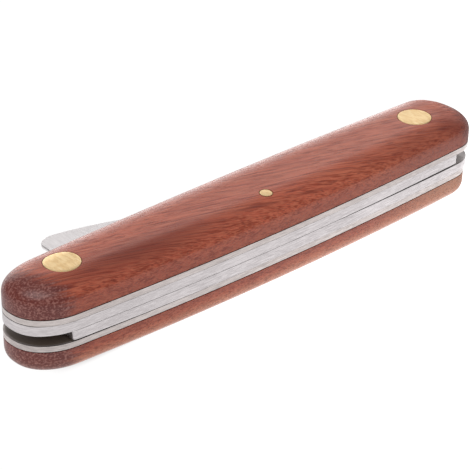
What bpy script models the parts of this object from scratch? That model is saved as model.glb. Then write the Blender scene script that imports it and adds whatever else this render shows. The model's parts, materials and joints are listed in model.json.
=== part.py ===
"""Closed two-blade grafting knife: crowned hardwood scales on steel liners, two back springs, brass rivets.

The knife lies on its lower scale. X runs along the handle, the back springs are on the -Y side, the blades
open from the +Y side, and Z is up. The origin is the middle of the flat land under the lower scale.
Each blade is drawn in its own plane: u runs from its pivot to its tip, v from its edge to its spine.
"""

import math

import bmesh
import bpy
from mathutils import Matrix, Vector

MM = 0.001

# Handle outline about the rivet line: half widths at the left and right gauge places, and the swell between
LEFT_END = -53.85 * MM
RIGHT_END = 54.1 * MM
LEFT_ROUND = 8.9 * MM
RIGHT_ROUND = 6.1 * MM
END_EXPONENT = 2.26
INSET_ROUNDING = 0.5
GAUGE_X = 50.0 * MM
BACK_WIDTHS = (7.65 * MM, 7.5 * MM)
FRONT_WIDTHS = (6.5 * MM, 8.3 * MM)
BACK_SWELL = 1.7 * MM
FRONT_SWELL = 0.95 * MM
LOWER_SETBACK = 0.9 * MM
GRAFTING_SPRING_SETBACK = 0.4 * MM
END_STEPS = 12
SIDE_STEPS = 10

# Layers, as heights from the middle of the knife: each back spring, then the liners and scales outside them
UPPER_SPRING_Z = (-0.02 * MM, 1.95 * MM)
LOWER_SPRING_Z = (-1.87 * MM, -0.14 * MM)
LINER_THICKNESS = 1.1 * MM
LINER_INNER_Z = 2.0 * MM
SCALE_GAP = 0.05 * MM

# Crowned scale: an upright wall, then a superellipse up to a flat land
SCALE_THICKNESS = 5.5 * MM
SCALE_WALL = 1.75 * MM
CROWN_HALF_WIDTH = 8.7 * MM
CROWN_INSET = 5.2 * MM
CROWN_EXPONENT = 2.66
CROWN_ROOT = 2.75
CROWN_STEPS = 6

# Pivot rivets and spring pin
RIVET_SPACING = 85.0 * MM
RIVET_HEAD_RADIUS = 3.3 * MM
RIVET_HEAD_DEPTH = 1.6 * MM
SLEEVE_RADIUS = 2.1 * MM
STUD_RADIUS = 1.25 * MM
PIN_RADIUS = 1.2 * MM
PIN_Y = -4.15 * MM
PIN_RECESS = 0.08 * MM
RUNNING_CLEARANCE = 0.06 * MM
HEAD_RECESS = 0.03 * MM
ROUND_STEPS = 28

# Back springs: the free end rests on the tang, the other end fills the handle's end
BUDDING_SPRING_REACH = 4.7 * MM
GRAFTING_SPRING_REACH = 3.8 * MM
SPRING_CORNER = 0.6 * MM
SPRING_TANG_FACE = -5.05 * MM
SPRING_INNER_FACE = -4.6 * MM
PIN_LOBE_TOP = -1.85 * MM
PIN_LOBE_HALF_LENGTH = 5.5 * MM
ANCHOR_START = -48.0 * MM
ANCHOR_LENGTH = 12.0 * MM
ANCHOR_TOP = 5.6 * MM
SPRING_STEPS = 8
SPRING_CORNER_STEPS = 4

# Blades: the tang is a cam with a flat for closed and a flat for open
BLADE_THICKNESS = 1.6 * MM
TANG_FLAT = 5.0 * MM
TANG_CAM_RADIUS = 5.4 * MM
SHOULDER_U = 5.0 * MM
SHOULDER_STEP = 0.02 * MM
SHOULDER_V = 7.8 * MM
CHOIL_START_U = 5.6 * MM
HEEL_U = 13.0 * MM
EDGE_V = -1.3 * MM
EDGE_THICKNESS = 0.15 * MM
PLUNGE_LENGTH = 4.0 * MM
GRIND_SHARE = 0.72
TANG_STEPS = 8
STRAIGHT_STEPS = 6
TIP_STEPS = 16
END_FACE_INSET = 0.05 * MM

# Budding blade: straight edge with a belly, and a bark lifter raised on the spine at its blunt end
BUDDING_LENGTH = 77.25 * MM
BUDDING_BELLY_U = 52.0 * MM
BUDDING_BELLY_TOP = 14.5 * MM
BUDDING_SPINE_V = 8.6 * MM
LIFTER_RISE = 10.6 * MM
LIFTER_START = 35.0 * MM
LIFTER_LENGTH = 45.0 * MM
LIFTER_CORNER_U = 74.0 * MM
LIFTER_CORNER_V = 16.3 * MM
LIFTER_CORNER_EXPONENT = 2.2
BUDDING_TIP_THICKNESS = 0.75 * MM
BUDDING_NICK = (52.0 * MM, 10.0 * MM)

# Grafting blade: straight edge, spine dropping to the point
GRAFTING_LENGTH = 76.0 * MM
GRAFTING_SPINE_V = 9.8 * MM
GRAFTING_DROP_U = 56.0 * MM
GRAFTING_TIP_THICKNESS = 1.0 * MM
GRAFTING_NICK = (40.0 * MM, 8.7 * MM)
SPINE_EASE_LENGTH = 16.0 * MM

# Nail nicks: shallow cuts by the rim of a tilted disc
NICK_DISC_RADIUS = 22.0 * MM
NICK_DEPTH = 0.35 * MM
NICK_WIDTH = 0.9 * MM
NICK_TILT = math.radians(28.0)

# Worked out from the above
LOWER_RIGHT_END = RIGHT_END - LOWER_SETBACK
PIVOT_X = RIVET_SPACING / 2
LINER_OUTER_Z = LINER_INNER_Z + LINER_THICKNESS
SCALE_INNER_Z = LINER_OUTER_Z + SCALE_GAP
LAND_Z = SCALE_INNER_Z + SCALE_THICKNESS
MIDDLE = Vector((0.0, 0.0, LAND_Z))
CROWN_RISE_FULL = (1 - (1 - CROWN_INSET / CROWN_HALF_WIDTH) ** CROWN_EXPONENT) ** (1 / CROWN_ROOT)
TANG_CAM_U = -math.sqrt(TANG_CAM_RADIUS**2 - TANG_FLAT**2)
CUTTER_MARGIN = 1.0 * MM

# Colours are linear RGB, with roughness and metallic value
FINISHES = {
    "hardwood": ((0.22, 0.058, 0.026), 0.45, 0.0),
    "liner_steel": ((0.56, 0.56, 0.55), 0.35, 1.0),
    "spring_steel": ((0.60, 0.60, 0.59), 0.32, 1.0),
    "blade_steel": ((0.66, 0.66, 0.66), 0.28, 1.0),
    "brass": ((0.80, 0.60, 0.27), 0.33, 1.0),
}


def clear_scene():
    for obj in list(bpy.data.objects):
        bpy.data.objects.remove(obj, do_unlink=True)


def material(name, finish):
    """A Principled material of one piece, in one of the knife's finishes."""
    color, roughness, metallic = FINISHES[finish]
    mat = bpy.data.materials.new(name)
    mat.use_nodes = True
    shader = mat.node_tree.nodes["Principled BSDF"]
    shader.inputs["Base Color"].default_value = (*color, 1.0)
    shader.inputs["Roughness"].default_value = roughness
    shader.inputs["Metallic"].default_value = metallic
    return mat


def add_empty(name, location):
    empty = bpy.data.objects.new(name, None)
    empty.location = location
    bpy.context.scene.collection.objects.link(empty)
    return empty


def add_piece(name, bm, finish, parent, smooth_angle=30.0):
    """Turn a bmesh into a named piece carried by an empty, with its own material."""
    bmesh.ops.recalc_face_normals(bm, faces=bm.faces)
    mesh = bpy.data.meshes.new(name)
    bm.to_mesh(mesh)
    bm.free()
    mesh.shade_smooth()
    mesh.set_sharp_from_angle(angle=math.radians(smooth_angle))
    mesh.materials.append(material(name, finish))
    obj = bpy.data.objects.new(name, mesh)
    obj.parent = parent
    bpy.context.scene.collection.objects.link(obj)
    return obj


def add_cutter(name, bm, parent):
    mesh = bpy.data.meshes.new(name)
    bmesh.ops.recalc_face_normals(bm, faces=bm.faces)
    bm.to_mesh(mesh)
    bm.free()
    obj = bpy.data.objects.new(name, mesh)
    obj.parent = parent
    obj.hide_render = True
    obj.display_type = "WIRE"
    bpy.context.scene.collection.objects.link(obj)
    return obj


def cut(piece, cutters):
    for cutter in cutters:
        modifier = piece.modifiers.new(cutter.name, "BOOLEAN")
        modifier.operation = "DIFFERENCE"
        modifier.object = cutter


def plate(points, low, high):
    """A flat plate with the given outline, from one height to another."""
    bm = bmesh.new()
    face = bm.faces.new([bm.verts.new((x, y, low)) for x, y in points])
    grown = bmesh.ops.extrude_face_region(bm, geom=[face])["geom"]
    risen = [item for item in grown if isinstance(item, bmesh.types.BMVert)]
    bmesh.ops.translate(bm, verts=risen, vec=(0.0, 0.0, high - low))
    return bm


def loft(sections):
    """A closed solid bridged through rings of equal size, with flat ends."""
    bm = bmesh.new()
    rings = [[bm.verts.new(point) for point in section] for section in sections]
    for ring, following in zip(rings, rings[1:]):
        for here in range(len(ring)):
            there = (here + 1) % len(ring)
            bm.faces.new((ring[here], ring[there], following[there], following[here]))
    bm.faces.new(rings[0])
    bm.faces.new(rings[-1])
    return bm


def turned(profile):
    """A round solid: a profile of (radius, height) points spun about Z."""
    bm = bmesh.new()
    verts = [bm.verts.new((radius, 0.0, height)) for radius, height in profile]
    edges = [bm.edges.new(pair) for pair in zip(verts, verts[1:])]
    bmesh.ops.spin(
        bm,
        geom=verts + edges,
        cent=(0.0, 0.0, 0.0),
        axis=(0.0, 0.0, 1.0),
        angle=math.tau,
        steps=ROUND_STEPS,
    )
    bmesh.ops.remove_doubles(bm, verts=bm.verts, dist=1e-7)
    return bm


def shifted(bm, x, y, z=0.0):
    bmesh.ops.translate(bm, verts=bm.verts, vec=(x, y, z))
    return bm


def rod(radius, low, high):
    return turned([(0.0, high), (radius, high), (radius, low), (0.0, low)])


def end_share(past, length):
    """Share of the full width left at a distance past where an end starts to round: a superellipse."""
    share = min(1.0, max(0.0, past / length))
    return (1 - share**END_EXPONENT) ** (1 / END_EXPONENT)


def end_rounds(inset):
    """Lengths over which the left and right ends round, on an outline stepped in from the handle's."""
    return LEFT_ROUND - inset * INSET_ROUNDING, RIGHT_ROUND - inset * INSET_ROUNDING


def side_y(x, side, right_end, inset=0.0):
    """Outline of the back (side -1) or front (side 1) at x: tapering, swelling, and rounded at both ends."""
    left, right = BACK_WIDTHS if side < 0 else FRONT_WIDTHS
    swell = BACK_SWELL if side < 0 else FRONT_SWELL
    left_round, right_round = end_rounds(inset)
    half = (left + right) / 2 + (right - left) / 2 * x / GAUGE_X + swell * (1 - (x / GAUGE_X) ** 2) - inset
    half *= end_share(LEFT_END + inset + left_round - x, left_round)
    half *= end_share(x - right_end + inset + right_round, right_round)
    return side * half


def side_stations(right_end, inset=0.0):
    """X stations from the left end to the right end, close together round the ends."""
    left_round, right_round = end_rounds(inset)
    turns = [math.pi / 2 * step / END_STEPS for step in range(END_STEPS)]
    rounding = [1 - math.cos(turn) ** (2 / END_EXPONENT) for turn in turns]
    left = [LEFT_END + inset + left_round * share for share in rounding]
    right = [right_end - inset - right_round * share for share in rounding]
    start = LEFT_END + inset + left_round
    run = right_end - inset - right_round - start
    middle = [start + run * step / SIDE_STEPS for step in range(SIDE_STEPS + 1)]
    return left + middle + right[::-1]


def handle_outline(right_end, inset=0.0):
    stations = side_stations(right_end, inset)
    back = [(x, side_y(x, -1, right_end, inset)) for x in stations]
    front = [(x, side_y(x, 1, right_end, inset)) for x in reversed(stations[1:-1])]
    return back + front


def crown_height(inset):
    """Height of the scale above its liner at a distance in from its outline."""
    share = (1 - (1 - inset / CROWN_HALF_WIDTH) ** CROWN_EXPONENT) ** (1 / CROWN_ROOT)
    return SCALE_WALL + (SCALE_THICKNESS - SCALE_WALL) * share / CROWN_RISE_FULL


def add_scale(name, up, parent):
    """Crowned wooden scale: the outline rises as a wall, then steps in along the crown to the land."""
    right_end = RIGHT_END if up > 0 else LOWER_RIGHT_END
    insets = [CROWN_INSET * (step / CROWN_STEPS) ** 2 for step in range(CROWN_STEPS + 1)]
    levels = [(0.0, 0.0)] + [(inset, crown_height(inset)) for inset in insets]
    sections = [
        [(x, y, up * (SCALE_INNER_Z + height)) for x, y in handle_outline(right_end, inset)]
        for inset, height in levels
    ]
    scale = add_piece(name, loft(sections), "hardwood", parent)
    seats = [
        add_cutter(f"{name}_rivet_seat_{side}", shifted(rivet_seat(up), side * PIVOT_X, 0.0), parent)
        for side in (-1, 1)
    ]
    cut(scale, seats + hole_cutters(name, parent, places=(0,)))
    return scale


def rivet_seat(up):
    """Stepped cutter for a rivet through a scale: a seat for its head, and a hole for its sleeve."""
    seat = RIVET_HEAD_RADIUS + RUNNING_CLEARANCE
    hole = SLEEVE_RADIUS + RUNNING_CLEARANCE
    top = LAND_Z + CUTTER_MARGIN
    floor = LAND_Z - RIVET_HEAD_DEPTH
    cutter = turned([(0.0, top), (seat, top), (seat, floor), (hole, floor), (hole, 0.0), (0.0, 0.0)])
    bmesh.ops.scale(cutter, verts=cutter.verts, vec=(1.0, 1.0, up))
    return cutter


def hole_cutters(name, parent, places=(-1, 0, 1)):
    """Cutters for the holes of a flat piece: the two rivets at -1 and 1, the spring pin at 0."""
    cutters = []
    reach = LAND_Z + CUTTER_MARGIN
    for place in places:
        radius = (SLEEVE_RADIUS if place else PIN_RADIUS) + RUNNING_CLEARANCE
        hole = shifted(rod(radius, -reach, reach), place * PIVOT_X, 0.0 if place else PIN_Y)
        cutters.append(add_cutter(f"{name}_hole_{place}", hole, parent))
    return cutters


def add_liner(name, up, parent):
    outline = handle_outline(RIGHT_END if up > 0 else LOWER_RIGHT_END)
    low, high = sorted((up * LINER_INNER_Z, up * LINER_OUTER_Z))
    liner = add_piece(name, plate(outline, low, high), "liner_steel", parent)
    cut(liner, hole_cutters(name, parent))
    return liner


def spring_inner_y(run):
    """Inner face of a spring at a run from the pin, negative towards the anchor: shoulder, bar, pin lobe."""
    if run < ANCHOR_START + ANCHOR_LENGTH:
        share = max(0.0, (run - ANCHOR_START) / ANCHOR_LENGTH)
        return SPRING_INNER_FACE + (ANCHOR_TOP - SPRING_INNER_FACE) * math.sqrt(1 - share**2)
    if abs(run) < PIN_LOBE_HALF_LENGTH:
        lobe = 0.5 * (1 + math.cos(math.pi * run / PIN_LOBE_HALF_LENGTH))
        return SPRING_INNER_FACE + (PIN_LOBE_TOP - SPRING_INNER_FACE) * lobe
    share = min(1.0, max(0.0, (run - PIN_LOBE_HALF_LENGTH) / (PIVOT_X / 2)))
    return SPRING_INNER_FACE + (SPRING_TANG_FACE - SPRING_INNER_FACE) * share


def spring_outline(anchor, reach, right_end):
    """Outline of a spring from its free end along the handle's back and round the end that it fills."""
    free_end = PIVOT_X + reach
    corner_run = free_end - SPRING_CORNER

    def back_y(run):
        return side_y(-anchor * run, -1, right_end)

    def front_y(run):
        return side_y(-anchor * run, 1, right_end)

    corner_y = back_y(corner_run) + SPRING_CORNER
    turns = [math.pi / 2 * step / SPRING_CORNER_STEPS for step in range(SPRING_CORNER_STEPS + 1)]
    outer = [
        (corner_run + SPRING_CORNER * math.cos(turn), corner_y - SPRING_CORNER * math.sin(turn))
        for turn in turns
    ]
    runs = sorted(-anchor * x for x in side_stations(right_end))
    outer += [(run, back_y(run)) for run in reversed(runs) if run < corner_run - SPRING_CORNER]
    outer += [(run, front_y(run)) for run in runs[1:] if run < ANCHOR_START and front_y(run) < ANCHOR_TOP]
    shoulder = [
        ANCHOR_START + ANCHOR_LENGTH * math.sin(math.pi / 2 * step / SPRING_STEPS)
        for step in range(SPRING_STEPS + 1)
    ]
    lobe = [PIN_LOBE_HALF_LENGTH * step / SPRING_STEPS for step in range(-SPRING_STEPS, SPRING_STEPS + 1)]
    inner = shoulder + lobe + [PIN_LOBE_HALF_LENGTH + PIVOT_X / 2, free_end]
    outline = outer + [(run, spring_inner_y(run)) for run in inner]
    return [(-anchor * run, y) for run, y in outline]


def add_spring(name, anchor, reach, heights, right_end, parent):
    """Back spring anchored at the -X rivet (anchor -1) or the +X one (anchor 1), reaching past the other."""
    bar = plate(spring_outline(anchor, reach, right_end), *heights)
    spring = add_piece(name, bar, "spring_steel", parent)
    cut(spring, hole_cutters(name, parent, places=(anchor, 0)))
    return spring


def smooth_step(share):
    share = min(1.0, max(0.0, share))
    return share * share * (3 - 2 * share)


def tang_low(u):
    """Edge side of a blade from the tang's end to the heel: cam, closed flat, choil."""
    if u < TANG_CAM_U:
        return -math.sqrt(max(0.0, TANG_CAM_RADIUS**2 - u * u))
    choil = smooth_step((u - CHOIL_START_U) / (HEEL_U - CHOIL_START_U))
    return -TANG_FLAT + (EDGE_V + TANG_FLAT) * choil


def tang_high(u):
    """Spine side of the tang: cam, then open flat up to the shoulder."""
    if u < TANG_CAM_U:
        return math.sqrt(max(0.0, TANG_CAM_RADIUS**2 - u * u))
    return TANG_FLAT


def spine_ease(u, level):
    """Spine easing from the shoulder's height to a level."""
    return SHOULDER_V + (level - SHOULDER_V) * smooth_step((u - SHOULDER_U) / SPINE_EASE_LENGTH)


def budding_low(u):
    """Edge of the budding blade: straight, then an elliptical belly up to the blunt end."""
    share = max(0.0, (u - BUDDING_BELLY_U) / (BUDDING_LENGTH - BUDDING_BELLY_U))
    return BUDDING_BELLY_TOP - (BUDDING_BELLY_TOP - EDGE_V) * math.sqrt(max(0.0, 1 - share**2))


def lifter_spine(u):
    share = max(0.0, (u - LIFTER_START) / LIFTER_LENGTH)
    return spine_ease(u, BUDDING_SPINE_V) + LIFTER_RISE * 0.5 * (1 - math.cos(math.pi * share))


def budding_high(u):
    """Spine of the budding blade: level, then rising as the lifter, rounded over at its corner."""
    if u < LIFTER_CORNER_U:
        return lifter_spine(u)
    share = (u - LIFTER_CORNER_U) / (BUDDING_LENGTH - LIFTER_CORNER_U)
    rounded = max(0.0, 1 - share**LIFTER_CORNER_EXPONENT) ** (1 / LIFTER_CORNER_EXPONENT)
    return LIFTER_CORNER_V + (lifter_spine(LIFTER_CORNER_U) - LIFTER_CORNER_V) * rounded


def grafting_low(u):
    return EDGE_V


def grafting_high(u):
    """Spine of the grafting blade: rises from the shoulder, runs level, then drops to the point."""
    level = spine_ease(u, GRAFTING_SPINE_V)
    share = max(0.0, (u - GRAFTING_DROP_U) / (GRAFTING_LENGTH - GRAFTING_DROP_U))
    return EDGE_V + (level - EDGE_V) * math.sqrt(max(0.0, 1 - share**2))


def tapering_stations(start, end, steps):
    """Stations from start to end that close up towards the end."""
    return [start + (end - start) * math.sin(math.pi / 2 * step / steps) for step in range(1, steps + 1)]


def blade_stations(length, curve_start):
    """U stations of a blade: tang cam, shoulder step, choil, straight run, curved tip."""
    cam_end = TANG_CAM_RADIUS - END_FACE_INSET
    cam = [-u for u in reversed(tapering_stations(-TANG_CAM_U, cam_end, TANG_STEPS))]
    tang = cam + [TANG_CAM_U, SHOULDER_U]
    choil = [SHOULDER_U + SHOULDER_STEP] + [
        CHOIL_START_U + (HEEL_U - CHOIL_START_U) * step / TANG_STEPS for step in range(TANG_STEPS + 1)
    ]
    start = HEEL_U + PLUNGE_LENGTH
    straight = [start + (curve_start - start) * step / STRAIGHT_STEPS for step in range(STRAIGHT_STEPS + 1)]
    tip = tapering_stations(curve_start, length - END_FACE_INSET, TIP_STEPS)
    return tang, choil + straight + tip


def spine_thickness(u, length, tip_thickness):
    """Thickness at the spine, tapering from the heel to the tip."""
    run = max(0.0, (u - HEEL_U) / (length - HEEL_U))
    return BLADE_THICKNESS + (tip_thickness - BLADE_THICKNESS) * run


def blade_section(u, low, high, spine, direction):
    """One section across a blade: flat underneath, and ground on top from the grind line to the edge."""
    ground = smooth_step((u - HEEL_U) / PLUNGE_LENGTH)
    edge = spine + (EDGE_THICKNESS - spine) * ground
    base = -spine / 2
    grind_line = low + (high - low) * GRIND_SHARE
    places = [
        (high, base),
        (high, base + spine),
        (grind_line, base + spine),
        (low, base + edge),
        (low, base),
        (grind_line, base),
    ]
    return [(direction * u, v, z) for v, z in places]


def nick_cutter(name, nick, face_z, direction, up, parent):
    """A thin tilted disc whose rim dips into the blade's face, as a nail nick is milled."""
    u, v = nick
    disc = rod(NICK_DISC_RADIUS, 0.0, NICK_WIDTH)
    bmesh.ops.rotate(disc, verts=disc.verts, matrix=Matrix.Rotation(math.pi / 2 + NICK_TILT, 3, "X"))
    lowest = min(vert.co.z for vert in disc.verts)
    rim_y = min(disc.verts, key=lambda vert: vert.co.z).co.y
    shifted(disc, direction * u, v - rim_y, face_z - NICK_DEPTH - lowest)
    if up < 0:
        bmesh.ops.scale(disc, verts=disc.verts, vec=(1.0, 1.0, -1.0))
    return add_cutter(name, disc, parent)


def add_blade(name, shape, direction, up, pivot):
    """Closed blade on its pivot, pointing along direction, with its ground side and nail nick up or down."""
    low_of, high_of, length, curve_start, tip_thickness, nick = shape
    tang, body = blade_stations(length, curve_start)
    outline = [(u, tang_low(u), tang_high(u)) for u in tang]
    outline += [(u, tang_low(u) if u < HEEL_U else low_of(u), high_of(u)) for u in body]
    sections = [
        blade_section(u, low, high, spine_thickness(u, length, tip_thickness), direction)
        for u, low, high in outline
    ]
    bm = loft(sections)
    if up < 0:
        bmesh.ops.scale(bm, verts=bm.verts, vec=(1.0, 1.0, -1.0))
    blade = add_piece(name, bm, "blade_steel", pivot)
    reach = BLADE_THICKNESS / 2 + CUTTER_MARGIN
    hole = add_cutter(f"{name}_pivot_hole", rod(SLEEVE_RADIUS + RUNNING_CLEARANCE, -reach, reach), pivot)
    nick_face = spine_thickness(nick[0], length, tip_thickness) / 2
    cut(blade, [hole, nick_cutter(f"{name}_nail_nick", nick, nick_face, direction, up, pivot)])
    return blade


def add_rivet(name, x, parent):
    """Cutler's rivet in two halves: a stud with the upper head, and a sleeve round it with the lower head."""
    head_face = LAND_Z - HEAD_RECESS
    head_under = LAND_Z - RIVET_HEAD_DEPTH + RUNNING_CLEARANCE
    bore = STUD_RADIUS + RUNNING_CLEARANCE
    stud_end = -head_under + RUNNING_CLEARANCE
    stud = turned(
        [
            (0.0, head_face),
            (RIVET_HEAD_RADIUS, head_face),
            (RIVET_HEAD_RADIUS, head_under),
            (STUD_RADIUS, head_under),
            (STUD_RADIUS, stud_end),
            (0.0, stud_end),
        ]
    )
    sleeve = turned(
        [
            (0.0, -head_under),
            (bore, -head_under),
            (bore, head_under - RUNNING_CLEARANCE),
            (SLEEVE_RADIUS, head_under - RUNNING_CLEARANCE),
            (SLEEVE_RADIUS, -head_under),
            (RIVET_HEAD_RADIUS, -head_under),
            (RIVET_HEAD_RADIUS, -head_face),
            (0.0, -head_face),
        ]
    )
    add_piece(f"{name}_stud", shifted(stud, x, 0.0), "brass", parent)
    add_piece(f"{name}_sleeve", shifted(sleeve, x, 0.0), "brass", parent)


def build():
    clear_scene()
    handle = add_empty("handle", MIDDLE)
    budding_pivot = add_empty("budding_pivot", MIDDLE + Vector((PIVOT_X, 0.0, sum(UPPER_SPRING_Z) / 2)))
    grafting_pivot = add_empty("grafting_pivot", MIDDLE + Vector((-PIVOT_X, 0.0, sum(LOWER_SPRING_Z) / 2)))
    add_scale("upper_scale", 1, handle)
    add_scale("lower_scale", -1, handle)
    add_liner("upper_liner", 1, handle)
    add_liner("lower_liner", -1, handle)
    add_spring("budding_spring", -1, BUDDING_SPRING_REACH, UPPER_SPRING_Z, RIGHT_END, handle)
    grafting_spring_end = RIGHT_END - GRAFTING_SPRING_SETBACK
    add_spring("grafting_spring", 1, GRAFTING_SPRING_REACH, LOWER_SPRING_Z, grafting_spring_end, handle)
    add_rivet("budding_rivet", PIVOT_X, handle)
    add_rivet("grafting_rivet", -PIVOT_X, handle)
    pin_end = LAND_Z - PIN_RECESS
    add_piece("spring_pin", shifted(rod(PIN_RADIUS, -pin_end, pin_end), 0.0, PIN_Y), "brass", handle)
    budding = (
        budding_low,
        budding_high,
        BUDDING_LENGTH,
        BUDDING_BELLY_U,
        BUDDING_TIP_THICKNESS,
        BUDDING_NICK,
    )
    grafting = (
        grafting_low,
        grafting_high,
        GRAFTING_LENGTH,
        GRAFTING_DROP_U,
        GRAFTING_TIP_THICKNESS,
        GRAFTING_NICK,
    )
    add_blade("budding_blade", budding, -1, 1, budding_pivot)
    add_blade("grafting_blade", grafting, 1, -1, grafting_pivot)


build()
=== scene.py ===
"""Looks of a closed two-blade grafting knife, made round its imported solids.

Lengths are metres in the knife's own frame: X along the handle, the back springs on the -Y side, Z up,
and the knife lies on the land of its lower scale at z = 0. Every piece is a surface worked out with numpy.
"""

import json
import math
from collections import namedtuple

import bmesh
import bpy
import numpy as np
from mathutils import Matrix, Vector

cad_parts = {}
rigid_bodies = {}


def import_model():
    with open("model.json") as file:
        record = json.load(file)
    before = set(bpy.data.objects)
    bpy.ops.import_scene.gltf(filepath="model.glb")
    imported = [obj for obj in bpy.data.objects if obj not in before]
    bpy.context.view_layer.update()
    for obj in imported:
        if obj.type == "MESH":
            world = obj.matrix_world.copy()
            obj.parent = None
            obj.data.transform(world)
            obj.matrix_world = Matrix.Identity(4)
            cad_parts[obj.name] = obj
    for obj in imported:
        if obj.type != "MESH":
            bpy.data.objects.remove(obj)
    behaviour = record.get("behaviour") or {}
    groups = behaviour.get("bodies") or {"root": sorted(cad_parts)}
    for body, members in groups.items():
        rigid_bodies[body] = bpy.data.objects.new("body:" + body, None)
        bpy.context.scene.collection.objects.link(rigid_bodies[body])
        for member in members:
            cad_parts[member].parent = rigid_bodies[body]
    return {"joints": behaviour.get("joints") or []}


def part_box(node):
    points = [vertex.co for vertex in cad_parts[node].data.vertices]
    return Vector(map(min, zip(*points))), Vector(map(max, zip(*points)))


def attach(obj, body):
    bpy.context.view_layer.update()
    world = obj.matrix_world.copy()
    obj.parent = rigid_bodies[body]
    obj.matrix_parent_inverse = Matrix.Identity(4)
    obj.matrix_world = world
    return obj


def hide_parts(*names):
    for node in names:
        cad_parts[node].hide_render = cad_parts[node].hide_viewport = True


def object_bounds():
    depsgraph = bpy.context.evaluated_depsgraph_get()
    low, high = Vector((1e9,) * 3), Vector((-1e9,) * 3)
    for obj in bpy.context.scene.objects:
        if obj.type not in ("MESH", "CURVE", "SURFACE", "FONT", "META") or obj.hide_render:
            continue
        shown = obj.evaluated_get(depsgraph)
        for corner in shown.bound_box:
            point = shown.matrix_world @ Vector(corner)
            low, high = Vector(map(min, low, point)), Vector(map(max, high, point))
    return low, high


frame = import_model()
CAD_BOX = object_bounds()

MM = 0.001

# Camera fitted to the photograph: its place, and the directions of the picture's right and top
CAMERA_PLACE = Vector((-203.46, -225.25, 182.56)) * MM
CAMERA_RIGHT = Vector((0.7528, -0.6581, 0.0127))
CAMERA_UP = Vector((0.3219, 0.3849, 0.8650))
CAMERA_LENS = 146.0
CAMERA_SENSOR = 36.0
CAMERA_CLIP_START = 1.0 * MM

# Handle outline: half widths of back and front at the gauge places, the swell between, and the rounded ends
LEFT_ROUND = 8.9 * MM
RIGHT_ROUND = 6.1 * MM
END_EXPONENT = 2.26
INSET_ROUNDING = 0.5
GAUGE_X = 50.0 * MM
BACK_WIDTHS = (7.65 * MM, 7.5 * MM)
FRONT_WIDTHS = (6.5 * MM, 8.3 * MM)
BACK_SWELL = 1.7 * MM
FRONT_SWELL = 0.95 * MM
END_STEPS = 40
SIDE_STEPS = 110

# Crown of a scale: an upright wall, a superellipse, and a parabola that eases it into the flat land
SCALE_WALL = 1.75 * MM
CROWN_RISE = 3.75 * MM
CROWN_HALF_WIDTH = 8.7 * MM
CROWN_EXPONENT = 2.66
CROWN_ROOT = 2.75
CROWN_FULL_INSET = 5.2 * MM
CROWN_LAST_INSET = 5.7327 * MM
CROWN_EASE_START = 4.0 * MM
CROWN_SLOPE_STEP = 0.02 * MM
CROWN_STEPS = 37
LAND_STEPS = 14
WOOD_EDGE = 0.06 * MM
WOOD_SEAM = 0.1 * MM
WOOD_SEAM_DEPTH = 0.6 * MM
HOLE_GAP = 0.11 * MM

# Flat steel: eased edges, painted shade with old oil inside, and the slow curves that part the springs from
# their neighbours
STEEL_EDGE = 0.02 * MM
EASE_STEPS = 4
ON_FACE = 0.001 * MM
INNER_RINGS = (0.2 * MM, 0.4 * MM, 0.6 * MM, 1.2 * MM)
# Painted shade, with old oil, on steel faces inside the handle: where it starts and where it is full on the
# liners, its amount on the springs, and where it fades on the tang
INNER_SHADE_START = 0.05 * MM
INNER_SHADE_FULL = 0.6 * MM
SPRING_INNER_SHADE = 0.35
TANG_INNER_SHADE_U = (10.0 * MM, 6.0 * MM)
SEAM = 0.005 * MM
LINER_GAP = 0.03 * MM
LINER_GAP_X = (25.0 * MM, -5.0 * MM)
BUDDING_SPRING_THICKNESS = 1.86 * MM
NOSE_DROP = 0.10 * MM
NOSE_X = -50.0 * MM
NOSE_LENGTH = 2.5 * MM
SPRING_GAP = 0.09 * MM
GRAFTING_SPRING_LIFT = 0.29 * MM
LIFT_X = -12.0 * MM
LIFT_EXPONENT = 1.6
GRAFTING_SPRING_FALL = 0.32 * MM
FALL_X = 12.0 * MM
SPRING_CORNER = 0.6 * MM
SPRING_TANG_FACE = -5.05 * MM
SPRING_INNER_FACE = -4.6 * MM
PIN_LOBE_TOP = -1.85 * MM
PIN_LOBE_HALF_LENGTH = 5.5 * MM
ANCHOR_START = -48.0 * MM
ANCHOR_LENGTH = 12.0 * MM
ANCHOR_TOP = 5.6 * MM
SPRING_STEPS = 24

# Blades: u runs from the pivot to the tip, v from the edge to the spine
BLADE_THICKNESS = 1.6 * MM
SPINE_EDGE = 0.12 * MM
GRIND_SOFTNESS = 0.25 * MM
EDGE_LIMIT = 1 / 4
SOFT_LIMIT = 1 / 12
TANG_FLAT = 5.0 * MM
TANG_CAM_RADIUS = 5.4 * MM
SHOULDER_U = 5.0 * MM
SHOULDER_STEP = 0.02 * MM
SHOULDER_V = 7.8 * MM
CHOIL_START_U = 5.6 * MM
HEEL_U = 13.0 * MM
EDGE_V = -1.3 * MM
EDGE_THICKNESS = 0.12 * MM
PLUNGE_LENGTH = 4.0 * MM
GRIND_RUNOUT = 6.0 * MM
GRIND_SHARE = 0.72
TANG_STEPS = 24
STRAIGHT_STEPS = 40
TIP_STEPS = 60
END_FACE_INSET = 0.02 * MM
SPINE_EASE_LENGTH = 16.0 * MM
BUDDING_LENGTH = 77.25 * MM
BUDDING_BELLY_U = 52.0 * MM
BUDDING_BELLY_TOP = 14.5 * MM
BUDDING_SPINE_V = 8.6 * MM
LIFTER_RISE = 10.6 * MM
LIFTER_START = 35.0 * MM
LIFTER_LENGTH = 45.0 * MM
LIFTER_CORNER_U = 74.0 * MM
LIFTER_CORNER_V = 16.3 * MM
LIFTER_CORNER_EXPONENT = 2.2
BUDDING_TIP_THICKNESS = 0.6 * MM
BUDDING_GRIND_END = 62.0 * MM
LIFTER_CHAMFER = 0.26 * MM
CHAMFER_SLOPE = 2.0
BUDDING_NICK = (52.0 * MM, 10.0 * MM)
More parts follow.
